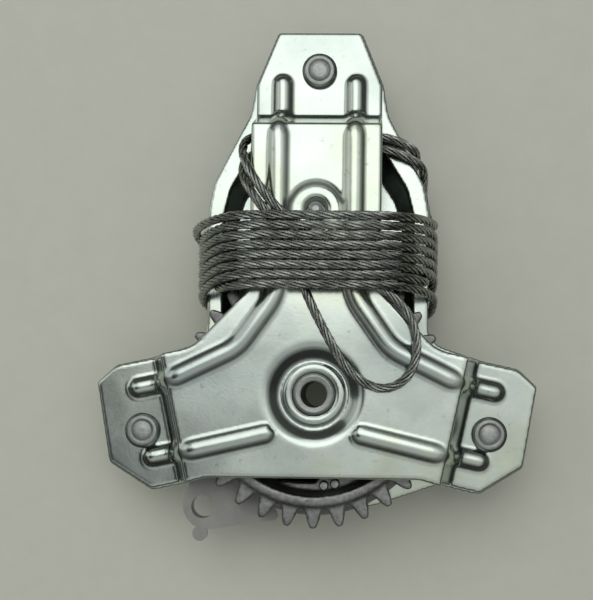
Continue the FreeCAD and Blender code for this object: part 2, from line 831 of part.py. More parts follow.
RIVET_CIRCLE = S.hubhalf + 3.2
RIVET_TURN = S.windowturn + 45
RIVET_HALF = as_size(1.4)
rivet_cut_gear = new_sketch(gear, "XY_Plane", S.gearback + S.gearweb)
draw_circle(rivet_cut_gear, RIVET_CIRCLE * cosine(RIVET_TURN), RIVET_CIRCLE * sine(RIVET_TURN),
            RIVET_HALF + S.seat)
gear_hole = pocket(gear, rivet_cut_gear, S.gearweb)
repeat(gear, gear_hole, S.windows)
rivet_cut_drum = new_sketch(drum, "XY_Plane", S.gearback)
draw_circle(rivet_cut_drum, RIVET_CIRCLE * cosine(RIVET_TURN), RIVET_CIRCLE * sine(RIVET_TURN),
            RIVET_HALF + S.seat)
drum_hole = pocket(drum, rivet_cut_drum, S.gearback - DRUM_BACK)
repeat(drum, drum_hole, S.windows)
RIVET_PROFILE = [
    (as_size(0), DRUM_BACK),
    (RIVET_HALF, DRUM_BACK),
    (RIVET_HALF, S.gearback + S.gearweb + S.seat),
    (RIVET_HALF + 0.9, S.gearback + S.gearweb + S.seat),
    (RIVET_HALF + 0.9, S.gearback + S.gearweb + 0.6),
    (RIVET_HALF + 0.3, S.gearback + S.gearweb + 1.0),
    (as_size(0), S.gearback + S.gearweb + 1.0),
]
for index in range(int(DIMENSIONS["windows"])):
    angle = RIVET_TURN + as_size(360 * index) / S.windows
    rivet_x = RIVET_CIRCLE * cosine(angle)
    rivet_y = RIVET_CIRCLE * sine(angle)
    turned("drum_rivet_%d" % (index + 1), RIVET_PROFILE, rivet_x, rivet_y)

# Crank spindle: splined end for the handle, journals, and a flat head for the pinion

BUSH_SPINDLE = S.spindlehalf + S.running
SPINDLE_SEAT = S.spindlebush - S.bushwall
CUP_BASE = FLOOR + S.seat
CUP_INNER = S.cupouter - S.cupwall
DRIVER_BACK = CUP_BASE + S.cupwall + S.endplay
DRIVER_FRONT = CUP_BASE + S.cuphigh - 0.4
PIN_FRONT = DECK + 0.4
spindle = turned("crank_spindle", [
    (as_size(0), -S.spindleend),
    (S.spindlehalf - 0.5, -S.spindleend),
    (S.spindlehalf, 0.5 - S.spindleend),
    (S.spindlehalf, DRIVER_FRONT),
    (S.spindlehalf - 1.0, DRIVER_FRONT),
    (S.spindlehalf - 1.0, GEAR_FRONT + 0.9),
    (S.spindlejournal + 0.8, GEAR_FRONT + 0.9),
    (S.spindlejournal + 0.8, DECK - S.pindish - S.sheet - S.endplay * 2),
    (S.spindlejournal, DECK - S.pindish - S.sheet - S.endplay * 2),
    (S.spindlejournal, PIN_FRONT - 0.9),
    (S.spindlejournal - 0.5, PIN_FRONT - 0.3),
    (S.spindlejournal - 1.1, PIN_FRONT),
    (as_size(0), PIN_FRONT),
], 0, CENTRES)
tapped_sketch = new_sketch(spindle, "XY_Plane", -S.spindleend)
draw_circle(tapped_sketch, 0, 0, S.tappedhalf)
pocket(spindle, tapped_sketch, S.tappeddeep, reversed_way=True)
spline_sketch = new_sketch(spindle, "XY_Plane", -S.spindleend)
spline_side = S.spindlehalf * sine(as_size(180) / S.splinecount) * 0.62
draw_polygon(spline_sketch, [
    (S.spindlehalf - S.splinedeep, as_size(0)),
    (S.spindlehalf + 0.3, -spline_side),
    (S.spindlehalf + 0.3, spline_side),
])
spline = pocket(spindle, spline_sketch, S.splinelong, reversed_way=True)
repeat(spindle, spline, S.splinecount)

turned("spindle_bush", [
    (BUSH_SPINDLE, FLOOR_BACK - 2.6),
    (S.spindlebush, FLOOR_BACK - 2.6),
    (S.spindlebush, FLOOR_BACK - S.seat),
    (SPINDLE_SEAT, FLOOR_BACK - S.seat),
    (SPINDLE_SEAT, CUP_BASE + S.cupwall),
    (BUSH_SPINDLE, CUP_BASE + S.cupwall),
], 0, CENTRES)
turned("spindle_clip", [
    (S.spindlehalf + 0.02, FLOOR_BACK - 2.7 - S.washer),
    (S.spindlehalf + 1.3, FLOOR_BACK - 2.7 - S.washer),
    (S.spindlehalf + 1.3, FLOOR_BACK - 2.7),
    (S.spindlehalf + 0.02, FLOOR_BACK - 2.7),
], 0, CENTRES)
turned("brake_cup", [
    (SPINDLE_SEAT + S.seat, CUP_BASE),
    (S.cupouter - 1.0, CUP_BASE),
    (S.cupouter, CUP_BASE + 1.0),
    (S.cupouter, CUP_BASE + S.cuphigh),
    (CUP_INNER, CUP_BASE + S.cuphigh),
    (CUP_INNER, CUP_BASE + S.cupwall),
    (SPINDLE_SEAT + S.seat, CUP_BASE + S.cupwall),
], 0, CENTRES)
turned("brake_driver", [
    (S.spindlehalf + S.seat, DRIVER_BACK),
    (S.hubcrank, DRIVER_BACK),
    (S.hubcrank, DRIVER_FRONT),
    (S.spindlehalf + S.seat, DRIVER_FRONT),
], 0, CENTRES)

# Wrap spring of square wire inside the brake cup

SPRING_HALF = CUP_INNER - S.springgap - S.springwide / 2
SPRING_PITCH = (DRIVER_FRONT - DRIVER_BACK - S.springwide - 0.2) / S.springturns
spring_sweep = Part.makeHelix(float(SPRING_PITCH), float(SPRING_PITCH * S.springturns), float(SPRING_HALF))
wire = float(S.springwide)
section = Part.makePolygon([
    V(float(SPRING_HALF) - wire / 2, 0, -wire / 2), V(float(SPRING_HALF) + wire / 2, 0, -wire / 2),
    V(float(SPRING_HALF) + wire / 2, 0, wire / 2), V(float(SPRING_HALF) - wire / 2, 0, wire / 2),
    V(float(SPRING_HALF) - wire / 2, 0, -wire / 2),
])
spring_solid = Part.Wire(spring_sweep.Edges).makePipeShell([section], True, True)
spring = shaped("brake_spring", spring_solid)
spring.Placement.Base = V(0, float(CENTRES), float(DRIVER_BACK + 0.1 + S.springwide / 2))

# Pinion on the spindle, in mesh with the drum gear: a tooth points at the drum's axis

CRANK_ROOT = CRANK_PITCH - S.module * 1.25
pinion = turned("pinion", [
    (S.spindlehalf - 1.0 + S.seat, S.gearback - 0.1),
    (CRANK_ROOT, S.gearback - 0.1),
    (CRANK_ROOT, GEAR_FRONT + 0.3),
    (S.spindlehalf - 1.0 + S.seat, GEAR_FRONT + 0.3),
], 0, CENTRES)
pinion_sketch = new_sketch(pinion, "XY_Plane", S.gearback - 0.1)
gear_tooth(pinion_sketch, S.crankteeth, -90)
pinion_tooth = pad(pinion, pinion_sketch, S.gearface + 0.4)
repeat(pinion, pinion_tooth, S.crankteeth)

# Cable guide: a moulded ring between the rear plate and the gear, with an ear and two pegs

GUIDE_BACK = RIM + S.seat
guide = new_body("cable_guide")
guide_sketch = new_sketch(guide, "XY_Plane", GUIDE_BACK)
draw_circle(guide_sketch, 0, 0, S.guideouter)
draw_circle(guide_sketch, 0, 0, S.guideinner)
pad(guide, guide_sketch, S.guidethick)
ear_sketch = new_sketch(guide, "XY_Plane", GUIDE_BACK)
draw_rounded(ear_sketch, [
    (-S.earx - 1.4, as_size(-18.0), 1.0),
    (-S.earx - 4.5, as_size(-25.6), 3.0),
    (-S.earx - S.earradius - 0.3, -S.eary - S.earradius - 0.6, 6.0),
    (as_size(-8.8), as_size(-31.6), 1.0),
    (as_size(-11.6), as_size(-25.4), 1.0),
    (as_size(-24.4), as_size(-14.2), 1.0),
])
pad(guide, ear_sketch, S.guidethick)
boss_sketch = new_sketch(guide, "XY_Plane", GUIDE_BACK + S.guidethick - S.earthick)
draw_circle(boss_sketch, -S.earx, -S.eary, S.earboss)
pad(guide, boss_sketch, S.earthick)
nub_sketch = new_sketch(guide, "XY_Plane", GUIDE_BACK)
draw_circle(nub_sketch, -S.earx - 0.6, -S.eary - S.earradius - 0.4, 1.9)
pad(guide, nub_sketch, S.guidethick)
hole_cut = new_sketch(guide, "XY_Plane", GUIDE_BACK + S.guidethick)
draw_circle(hole_cut, -S.earx, -S.eary, S.earbore)
pocket(guide, hole_cut, S.earthick + 1)
peg_sketch = new_sketch(guide, "XY_Plane", as_size(0.1))
for side in (-1, 1):
    draw_circle(peg_sketch, side * (S.guideinner + 1.2), as_size(2), S.pegradius)
pad(guide, peg_sketch, RIM + 0.5)

# Cable: one length, wound for transport from the drum round the plates, in a loop, and back


def wound_ring(wide, turns, back, front, low, shear):
    """Turns of cable round the plates as one ring, sheared along Y between front and back."""
    thick = float(S.cable)
    broad = thick * turns

    def block(half, bottom, top):
        """A sheared block between two heights."""
        slope = shear / (front - back)
        y_top = low - (front - top) * slope
        y_bottom = low - (front - bottom) * slope
        side = Part.makePolygon([
            V(-half, y_bottom, bottom), V(-half, y_bottom + broad, bottom),
            V(-half, y_top + broad, top), V(-half, y_top, top), V(-half, y_bottom, bottom),
        ])
        solid = Part.Face(side).extrude(V(2 * half, 0, 0))
        corners = [e for e in solid.Edges if abs(e.tangentAt(e.FirstParameter).y) > 0.999]
        return solid, corners

    outer, edges = block(wide + thick, back - thick, front + thick)
    outer = outer.makeFillet(min(5.0, (front - back) / 2 + thick - 0.3), edges)
    inner, edges = block(wide, back, front)
    inner = inner.makeFillet(min(2.7, (front - back) / 2 - 0.1), edges)
    return outer.cut(inner)


def cord_tube(label, points):
    """A round cord through points, straight runs joined by the largest tangent arcs."""
    spots = [V(*point) for point in points]
    radii = []
    for i in range(1, len(spots) - 1):
        back = (spots[i - 1] - spots[i])
        ahead = (spots[i + 1] - spots[i])
        half = back.getAngle(ahead) / 2
        radii.append(0.45 * min(back.Length, ahead.Length) * math.tan(half))
    path = arc_path(points, radii)
    start = path.Edges[0]
    along = start.tangentAt(start.FirstParameter)
    ring = Part.Circle(start.valueAt(start.FirstParameter), along, float(S.cable) / 2)
    tube = path.makePipeShell([Part.Wire(ring.toShape())], True, False)
    expected = math.pi * float(S.cable) ** 2 / 4 * path.Length
    print("%s: %.1f mm, volume %.4f of section times length, radii %s" % (
        label, path.Length, tube.Volume / expected, " ".join("%.1f" % r for r in radii)))
    return shaped(label, tube)


beside = float(S.rearhalf) + 0.15
shaped("cable_belt", wound_ring(beside, float(S.beltturns), -float(S.beltback), float(S.beltfront),
                                float(S.beltlow), float(S.beltshear)))
cord_tube("cable_lead_left", [
    (-19.4, 12.3, -1.8), (-19.5, 20.0, -1.8), (-20.2, 26.8, -0.2), (-22.6, 30.4, 3.4), (-26.0, 29.4, 6.4),
    (-28.3, 25.0, 9.4),
])
cord_tube("cable_lead_right", [
    (19.4, 12.3, -2.4), (19.5, 19.6, -2.2), (20.2, 26.8, -0.4), (22.6, 30.8, 3.4), (26.0, 30.8, 6.6),
    (28.3, 27.0, 9.6),
])
cord_tube("cable_bight", [
    (26.0, 35.9, -9.0), (26.6, 41.0, -6.9), (27.3, 46.0, -4.0), (26.6, 51.6, -1.9), (27.3, 56.6, -1.6),
    (26.9, 58.4, 3.1), (22.0, 60.8, 3.4), (16.0, 62.3, 4.2), (6.0, 62.9, 4.7), (-6.0, 62.8, 4.8),
    (-14.6, 62.0, 5.8), (-18.1, 58.4, 9.4), (-18.4, 53.4, 14.4), (-14.4, 49.0, 18.1),
    (-9.0, 43.4, 18.2), (-5.0, 35.0, 16.9), (-2.8, 25.7, 16.4), (2.8, 14.6, 16.4), (8.4, 5.2, 16.4),
    (15.8, 0.9, 16.6), (22.6, 3.4, 17.9), (25.4, 11.2, 18.2), (22.8, 20.6, 17.4), (14.6, 26.8, 17.9),
    (6.0, 32.6, 17.7), (-1.6, 39.2, 17.2), (-9.6, 47.9, 18.3), (-14.6, 53.4, 18.2),
    (-19.0, 57.8, 13.8), (-19.0, 62.4, 8.6), (-14.8, 65.3, 5.6), (-6.0, 65.5, 5.0), (6.0, 65.4, 5.0),
    (15.6, 65.2, 4.6), (21.0, 64.2, 3.6), (24.9, 62.4, 3.1), (25.3, 60.8, -1.9), (23.2, 56.0, -2.2),
    (24.9, 49.4, -4.4), (24.6, 42.6, -8.6), (23.2, 35.9, -9.0),
])

def write_pieces():
    """Write every piece, once each of them is sound."""
    os.makedirs("parts", exist_ok=True)
    doc.recompute()
    for item in doc.Objects:
        if "Invalid" in item.State or "Error" in item.State:
            raise RuntimeError("%s failed" % item.Label)
    for piece in finished:
        if piece.Shape.isNull() or not piece.Shape.isValid():
            raise RuntimeError("%s has no sound shape" % piece.Label)
        piece.Shape.exportStep(os.path.join("parts", piece.Label + ".step"))


write_pieces()
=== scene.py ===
"""Scene of a hand-cranked cable window regulator, as it leaves the bench: two pressed zinc plates
on three riveted studs, a die cast gear and drum between them, and the cable wound round both."""
import json
import math

import bpy
from bpy.props import FloatProperty, FloatVectorProperty, IntProperty, PointerProperty
from mathutils import Matrix, Vector


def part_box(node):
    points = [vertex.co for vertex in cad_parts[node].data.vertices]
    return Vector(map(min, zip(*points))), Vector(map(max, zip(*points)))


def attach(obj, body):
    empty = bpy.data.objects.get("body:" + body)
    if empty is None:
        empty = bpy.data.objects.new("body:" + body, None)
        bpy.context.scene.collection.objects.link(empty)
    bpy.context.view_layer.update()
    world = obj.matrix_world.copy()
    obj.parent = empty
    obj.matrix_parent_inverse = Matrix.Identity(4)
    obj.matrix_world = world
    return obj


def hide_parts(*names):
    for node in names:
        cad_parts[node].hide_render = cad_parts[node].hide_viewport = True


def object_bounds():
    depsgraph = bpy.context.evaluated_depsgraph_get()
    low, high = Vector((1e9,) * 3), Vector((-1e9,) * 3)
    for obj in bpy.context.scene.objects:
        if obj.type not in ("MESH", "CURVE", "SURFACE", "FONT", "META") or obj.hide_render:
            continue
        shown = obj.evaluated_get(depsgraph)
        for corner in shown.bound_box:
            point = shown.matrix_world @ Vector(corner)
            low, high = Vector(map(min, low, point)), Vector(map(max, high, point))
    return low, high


bl_info = {
    "name": "Window Regulator",
    "version": (1, 0, 0),
    "blender": (4, 5, 0),
    "location": "3D View > Sidebar > Regulator",
    "description": "Plates, gear, wire rope, finishes and stage of a cable window regulator",
    "category": "Add Mesh",
}

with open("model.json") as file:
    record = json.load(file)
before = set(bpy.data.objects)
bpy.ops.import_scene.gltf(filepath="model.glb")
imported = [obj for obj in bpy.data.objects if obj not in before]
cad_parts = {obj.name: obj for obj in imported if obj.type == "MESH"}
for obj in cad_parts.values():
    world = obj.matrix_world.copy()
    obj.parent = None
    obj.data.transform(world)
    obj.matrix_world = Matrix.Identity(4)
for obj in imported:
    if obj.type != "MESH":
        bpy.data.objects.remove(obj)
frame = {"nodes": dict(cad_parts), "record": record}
CAD_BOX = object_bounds()
NODES = frame["nodes"]
MM = 0.001

# Wire rope: points of the route in millimetres, in the order in which the rope runs

LEAD_LEFT = (
    (-19.4, 12.3, -1.8), (-19.5, 20.0, -1.8), (-20.2, 26.8, -0.2), (-22.4, 30.2, 3.4),
    (-24.6, 28.9, 6.8), (-24.4, 25.8, 10.4), (-21.4, 25.6, 17.4),
)
HOOK_START = (
    (29.5, 43.4, 2.0), (29.6, 43.2, -2.6), (28.4, 45.2, -5.4), (27.3, 48.8, -4.2),
    (26.7, 52.4, -2.0), (27.0, 55.8, -1.5),
)
BIGHT = (
    (26.2, 58.2, 3.3), (21.6, 60.6, 3.4), (16.0, 62.3, 4.2), (6.0, 62.9, 4.7), (-6.0, 62.8, 4.8),
    (-14.2, 61.4, 6.0), (-18.4, 57.6, 9.6), (-18.0, 53.2, 14.6), (-15.6, 48.6, 17.8),
    (-11.6, 43.6, 18.1), (-5.0, 35.0, 16.9), (-2.8, 25.7, 16.4), (2.8, 14.6, 16.4), (8.4, 5.2, 16.4),
    (15.8, 0.9, 16.6), (22.6, 3.4, 17.9), (25.4, 11.2, 18.2), (22.8, 20.6, 17.4), (14.6, 26.8, 17.9),
    (6.0, 32.6, 17.7), (-1.6, 39.2, 17.2), (-9.6, 44.9, 18.1), (-14.0, 50.6, 18.3),
    (-17.4, 56.2, 17.2), (-18.4, 61.2, 12.6), (-16.2, 64.6, 7.4), (-6.0, 65.5, 5.0), (6.0, 65.4, 5.0),
    (15.6, 65.2, 4.6), (21.0, 64.0, 3.6), (24.6, 61.8, 3.2), (25.1, 60.2, -1.9), (23.2, 56.0, -2.2),
    (24.9, 49.4, -4.4), (24.6, 42.6, -8.6), (23.4, 37.6, -9.4), (19.0, 35.5, -10.6),
)
LEAD_RIGHT = (
    (27.4, 27.4, 9.8), (25.6, 30.6, 6.6), (22.6, 30.8, 3.4), (20.2, 26.8, -0.4), (19.5, 19.6, -2.2),
    (19.4, 12.3, -2.4),
)

# Turns of the rope: (across, height) in front, (across, height, share sunk, share backward) beside
# the plates, and across behind them, with the places of the turns up the arm and the neck

FRONT_RUN = ((-15.5, 20.65), (-8.0, 20.7), (0.0, 20.7), (8.0, 20.7), (15.5, 20.65))
SIDE_RUN = ((21.0, 18.6, 0.1, 0.0), (25.6, 13.0, 0.45, 0.0), (28.6, 6.4, 0.85, 0.0),
            (29.6, 0.6, 1.0, 0.15), (29.3, -4.6, 1.0, 0.6), (26.4, -8.4, 1.0, 0.93))
BACK_RUN = (20.5, 10.0, 0.0, -10.0, -20.5)
FRONT_PITCH = 2.35
BACK_PITCH = 2.3
FRONT_FIRST = 26.15
BACK_FIRST = 19.15
UPWARD_TURNS = (0, 2, 4, 7)
DOWNWARD_TURNS = (6, 5, 3, 1)
TOP_TURN = UPWARD_TURNS[-1]
LEFT_DROP = (4.4, 0.42)
RIGHT_DROP = (1.3, 0.3)
TOP_TURN_SLACK = 1.8
BACK_DEPTH = -9.2
OUTER_BACK_DEPTH = -11.6
OUTER_EDGE_DEPTH = -10.4
OUTER_EDGE = 15.0
WRAP_TURNS = 3
WRAP_CORNERS = 24
WRAP_SWELL = 1.009
WIRES = 6
WIRE_LAY = 0.0055
STRAND_SHARE = 0.97

# Plates and gear: the size of the cells that soften them and the number of smoothing rounds

PLATE_VOXEL = 0.00046
PLATE_ROUNDS = 2
FACE_ROUNDS = 2
GEAR_VOXEL = 0.00042
GEAR_ROUNDS = 4
DOUBLES = 0.000002
SHEET_FACE = 0.25

# Front plate and rear plate: heights of their flat faces in millimetres, front faces first

FLAT_HEIGHTS = {
    "front_plate": (15.0, 13.5, 3.0, 1.5),
    "rear_plate": (1.5, 0.0, -6.0, -7.5),
}
FLAT_REACH = 0.00003
RIB_SHARE = 0.75

# Dish round the axle: its profile as (radius, height) in millimetres, and what counts as its front

DISH_UNDER = 0.0108
DISH_FACE = 0.2
DISH = ((5.0, 12.9), (5.5, 13.1), (5.9, 13.3), (7.0, 13.3), (7.4, 13.15), (7.8, 12.75), (8.4, 12.7),
        (9.2, 13.15), (10.0, 13.8), (10.8, 14.4), (11.6, 14.8), (12.4, 14.97), (13.2, 15.0))

# Riveted and turned ends: the radius of each head

TURNED_NODES = {
    "mount_stud_top": 0.0044, "mount_stud_left": 0.0044, "mount_stud_right": 0.0044,
    "drum_axle": 0.0053,
}

# Metals that no setting changes, and how much brighter a rubbed mark is than its metal

DARK_STEEL = (0.16, 0.16, 0.16, 1.0)
SPRING_STEEL = (0.12, 0.12, 0.13, 1.0)
BRONZE = (0.46, 0.30, 0.15, 1.0)
RUBBED = 1.7

# Stage: camera, lamps and the dark part of the room, as a direction

CAMERA_PLACE = (0.0137, 0.0016, 0.278)
CAMERA_TURN = (("X", 1.74), ("Y", 1.53), ("Z", 0.63))
CAMERA_SHIFT = (-0.075, 0.0917)
LAMP_AIM = (0.0, 0.03, 0.0)
KEY_PLACE = (-0.10, 0.47, 0.91)
KEY_SIZE = (0.6, 0.87)
FILL_PLACE = (-0.75, 0.3, 0.45)
FILL_SIZE = (0.5, 0.6)
DARK_SIDE = (-0.39, -0.06, 0.92)
FLOOR_GAP = 0.00005
FLOOR_SIZE = 4.0


def front_place(turn):
    """How high up the arm a turn crosses the front."""
    return FRONT_FIRST + FRONT_PITCH * turn


def side_drop(turn, side):
    """How far a turn sinks toward the rear plate's edge; each one higher up sinks less."""
    first, change = RIGHT_DROP if side > 0 else LEFT_DROP
    return first - change * turn


def side_points(turn, side):
    """One side of a turn, from the front down to the back."""
    points = []
    behind = BACK_FIRST + BACK_PITCH * turn
    for across, height, sunk, backward in SIDE_RUN:
        beside = front_place(turn) - side_drop(turn, side) * sunk
        loose = TOP_TURN_SLACK if turn == TOP_TURN and side < 0 and height > 0 else 0.0
        points.append((side * (across + loose * sunk), beside + (behind - beside) * backward, height))
    return points


def front_points(turn):
    """A turn's run across the front, from left to right."""
    return [(across, front_place(turn), height) for across, height in FRONT_RUN]


def back_points(start, end, outside):
    """The run behind the plates, from right to left: a turn steps over to its next place there."""
    points = []
    for across in BACK_RUN:
        share = (BACK_RUN[0] - across) / (BACK_RUN[0] - BACK_RUN[-1])
        eased = share * share * (3 - 2 * share)
        place = BACK_FIRST + BACK_PITCH * (start + (end - start) * eased)
        depth = BACK_DEPTH
        if outside:
            depth = OUTER_BACK_DEPTH if abs(across) < OUTER_EDGE else OUTER_EDGE_DEPTH
        points.append((across, place, depth))
    return points


def cable_route():
    """All control points of the rope, from the drum's left side to its right side."""
    points = list(LEAD_LEFT) + front_points(UPWARD_TURNS[0])
    for last, turn in zip(UPWARD_TURNS, UPWARD_TURNS[1:]):
        points += side_points(last, 1) + back_points(last, turn, False)
        points += side_points(turn, -1)[::-1] + front_points(turn)
    points += side_points(TOP_TURN, 1)[:2] + list(HOOK_START) + list(BIGHT)
    first = DOWNWARD_TURNS[0]
    points += back_points(TOP_TURN, first, True)[1:] + side_points(first, -1)[::-1] + front_points(first)
    for last, turn in zip(DOWNWARD_TURNS, DOWNWARD_TURNS[1:]):
        points += side_points(last, 1) + back_points(last, turn, True)
        points += side_points(turn, -1)[::-1] + front_points(turn)
    points += side_points(DOWNWARD_TURNS[-1], 1)[:2] + list(LEAD_RIGHT)
    return points


# Sizes and colours that a user would change


class RopeSettings(bpy.types.PropertyGroup):
    """Wire rope: sizes of the rope and of its strands."""
    diameter: FloatProperty(name="Diameter", description="Diameter of the rope", default=0.0023,
                            min=0.0005, unit="LENGTH")
    strands: IntProperty(name="Strands", description="Number of strands", default=6, min=3)
    lay: FloatProperty(name="Lay", description="Length of one whole twist of a strand", default=0.0145,
                       min=0.004, unit="LENGTH")
    step: FloatProperty(name="Step", description="Length between two points of a strand", default=0.0013,
                        min=0.0004, unit="LENGTH")


class MetalSettings(bpy.types.PropertyGroup):
    """Finishes: main colours of the metal and plastic parts."""
    zinc: FloatVectorProperty(name="Zinc", description="Plating of the pressed plates", subtype="COLOR",
                              size=4, default=(0.60, 0.67, 0.61, 1.0), min=0.0, max=1.0)
    casting: FloatVectorProperty(name="Casting", description="Die cast gear and drum", subtype="COLOR",
                                 size=4, default=(0.30, 0.31, 0.30, 1.0), min=0.0, max=1.0)
    steel: FloatVectorProperty(name="Steel", description="Studs, axle and pinion", subtype="COLOR",
                               size=4, default=(0.47, 0.50, 0.475, 1.0), min=0.0, max=1.0)
    rope: FloatVectorProperty(name="Rope", description="Wires of the rope", subtype="COLOR",
                              size=4, default=(0.44, 0.465, 0.43, 1.0), min=0.0, max=1.0)
    nylon: FloatVectorProperty(name="Nylon", description="Cable guide", subtype="COLOR",
                               size=4, default=(0.40, 0.41, 0.38, 1.0), min=0.0, max=1.0)


class StageSettings(bpy.types.PropertyGroup):
    """Stage: floor, lamps and camera."""
    floor: FloatVectorProperty(name="Floor", description="Colour of the floor", subtype="COLOR",
                               size=4, default=(0.81, 0.83, 0.715, 1.0), min=0.0, max=1.0)
    key: FloatProperty(name="Key Lamp", description="Power of the overhead lamp", default=1.35, min=0.0,
                       unit="POWER")
    fill: FloatProperty(name="Fill Lamp", description="Power of the lamp on the left", default=0.5,
                        min=0.0, unit="POWER")
    lens: FloatProperty(name="Lens", description="Focal length of the camera", default=65.45, min=10.0,
                        unit="CAMERA")


SETTINGS = {"rope": RopeSettings, "metal": MetalSettings, "stage": StageSettings}

# Helpers


def choose(obj):
    """Make one object the only selected and active one."""
    bpy.ops.object.select_all(action="DESELECT")
    obj.select_set(True)
    bpy.context.view_layer.objects.active = obj


def apply_modifier(obj, kind, **values):
    """Add a modifier with these values and apply it."""
    choose(obj)
    modifier = obj.modifiers.new(kind.title(), kind)
    for name, value in values.items():
        setattr(modifier, name, value)
    bpy.ops.object.modifier_apply(modifier=modifier.name)


def merged_copy(node, name):
    """A copy of a node's mesh under a new name, with its doubles merged."""
    source = NODES[node]
    obj = bpy.data.objects.new(name, source.data.copy())
    bpy.context.scene.collection.objects.link(obj)
    choose(obj)
    bpy.ops.object.mode_set(mode="EDIT")
    bpy.ops.mesh.select_all(action="SELECT")
    bpy.ops.mesh.remove_doubles(threshold=DOUBLES)
    bpy.ops.object.mode_set(mode="OBJECT")
    return obj


def flatten(obj, heights, reach):
    """Bring the points that lie almost at one of these heights onto it."""
    for vertex in obj.data.vertices:
        for height in heights:
            if abs(vertex.co.z - height * MM) < reach:
                vertex.co.z = height * MM


def press_ribs(obj, deck, share):
    """Bring the ribs that stand up from the deck down to a share of their height."""
    for vertex in obj.data.vertices:
        above = vertex.co.z - deck * MM
        if above > 0:
            vertex.co.z = deck * MM + above * share


def press_dish(obj):
    """Give the front of the plate the round drawn dish about the axle, as its profile says."""
    for vertex in obj.data.vertices:
        radius = vertex.co.xy.length / MM
        if vertex.co.z < DISH_UNDER or vertex.normal.z < DISH_FACE:
            continue
        for (inner, low), (outer, high) in zip(DISH, DISH[1:]):
            if inner <= radius < outer:
                vertex.co.z = (low + (high - low) * (radius - inner) / (outer - inner)) * MM


def ease_faces(obj, rounds):
    """Soften the ribs and bends of a sheet further, while its cut edges keep their shape."""
    faces = obj.vertex_groups.new(name="faces")
    level = [vertex.index for vertex in obj.data.vertices if abs(vertex.normal.z) > SHEET_FACE]
    faces.add(level, 1.0, "REPLACE")
    apply_modifier(obj, "SMOOTH", factor=0.5, iterations=rounds, vertex_group=faces.name)


def softened(node, name, voxel, rounds):
    """A pressed or cast piece with the soft edges that the tool gives it, in place of its node."""
    obj = merged_copy(node, name)
    apply_modifier(obj, "REMESH", mode="VOXEL", voxel_size=voxel)
    apply_modifier(obj, "SMOOTH", factor=0.5, iterations=rounds)
    choose(obj)
    bpy.ops.object.shade_smooth()
    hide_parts(node)
    return obj


def finish_with(obj, material):
    """Give a piece one material."""
    obj.data.materials.clear()
    obj.data.materials.append(material)


# Materials


def group_sockets(tree, inputs, outputs):
    """Add the sockets of a node group: name, socket type and, for an input, its default."""
    for name, kind, default in inputs:
        socket = tree.interface.new_socket(name=name, in_out="INPUT", socket_type=kind)
        socket.default_value = default
    for name, kind in outputs:
        tree.interface.new_socket(name=name, in_out="OUTPUT", socket_type=kind)
    return tree.nodes.new("NodeGroupInput"), tree.nodes.new("NodeGroupOutput")


def math_node(tree, operation, *operands):
    """A Math node; each operand is a number or a socket."""
    node = tree.nodes.new("ShaderNodeMath")
    node.operation = operation
    for place, value in enumerate(operands):
        if isinstance(value, (int, float)):
            node.inputs[place].default_value = value
        else:
            tree.links.new(value, node.inputs[place])
    return node.outputs[0]


def noise_node(tree, vector, scale, detail=3.0, roughness=0.5):
    """A noise pattern's height; its scale is a number or a socket."""
    node = tree.nodes.new("ShaderNodeTexNoise")
    node.inputs["Detail"].default_value = detail
    node.inputs["Roughness"].default_value = roughness
    tree.links.new(vector, node.inputs["Vector"])
    if isinstance(scale, (int, float)):
        node.inputs["Scale"].default_value = scale
    else:
        tree.links.new(scale, node.inputs["Scale"])
    return node.outputs["Fac"]


def ramp_node(tree, factor, stops):
    """A colour ramp with these stops: place and grey level or colour."""
    node = tree.nodes.new("ShaderNodeValToRGB")
    ramp = node.color_ramp
    while len(ramp.elements) > 1:
        ramp.elements.remove(ramp.elements[-1])
    for count, (place, level) in enumerate(stops):
        element = ramp.elements[0] if count == 0 else ramp.elements.new(place)
        element.position = place
        grey = isinstance(level, (int, float))
        element.color = (level, level, level, 1.0) if grey else level
    tree.links.new(factor, node.inputs["Fac"])
    return node.outputs["Color"]


def mix_node(tree, factor, first, second, blend="MIX"):
    """A colour mix; factor and colours are values or sockets."""
    node = tree.nodes.new("ShaderNodeMix")
    node.data_type = "RGBA"
    node.blend_type = blend
    for socket, value in ((node.inputs[0], factor), (node.inputs[6], first), (node.inputs[7], second)):
        if isinstance(value, bpy.types.NodeSocket):
            tree.links.new(value, socket)
        else:
            socket.default_value = value
    return node.outputs[2]


def stretched(tree, vector, scale, turn):
    """Coordinates squeezed along one direction and turned about Z, for marks that run one way."""
    node = tree.nodes.new("ShaderNodeMapping")
    node.inputs["Scale"].default_value = scale
    node.inputs["Rotation"].default_value = (0.0, 0.0, turn)
    tree.links.new(vector, node.inputs["Vector"])
    return node.outputs["Vector"]


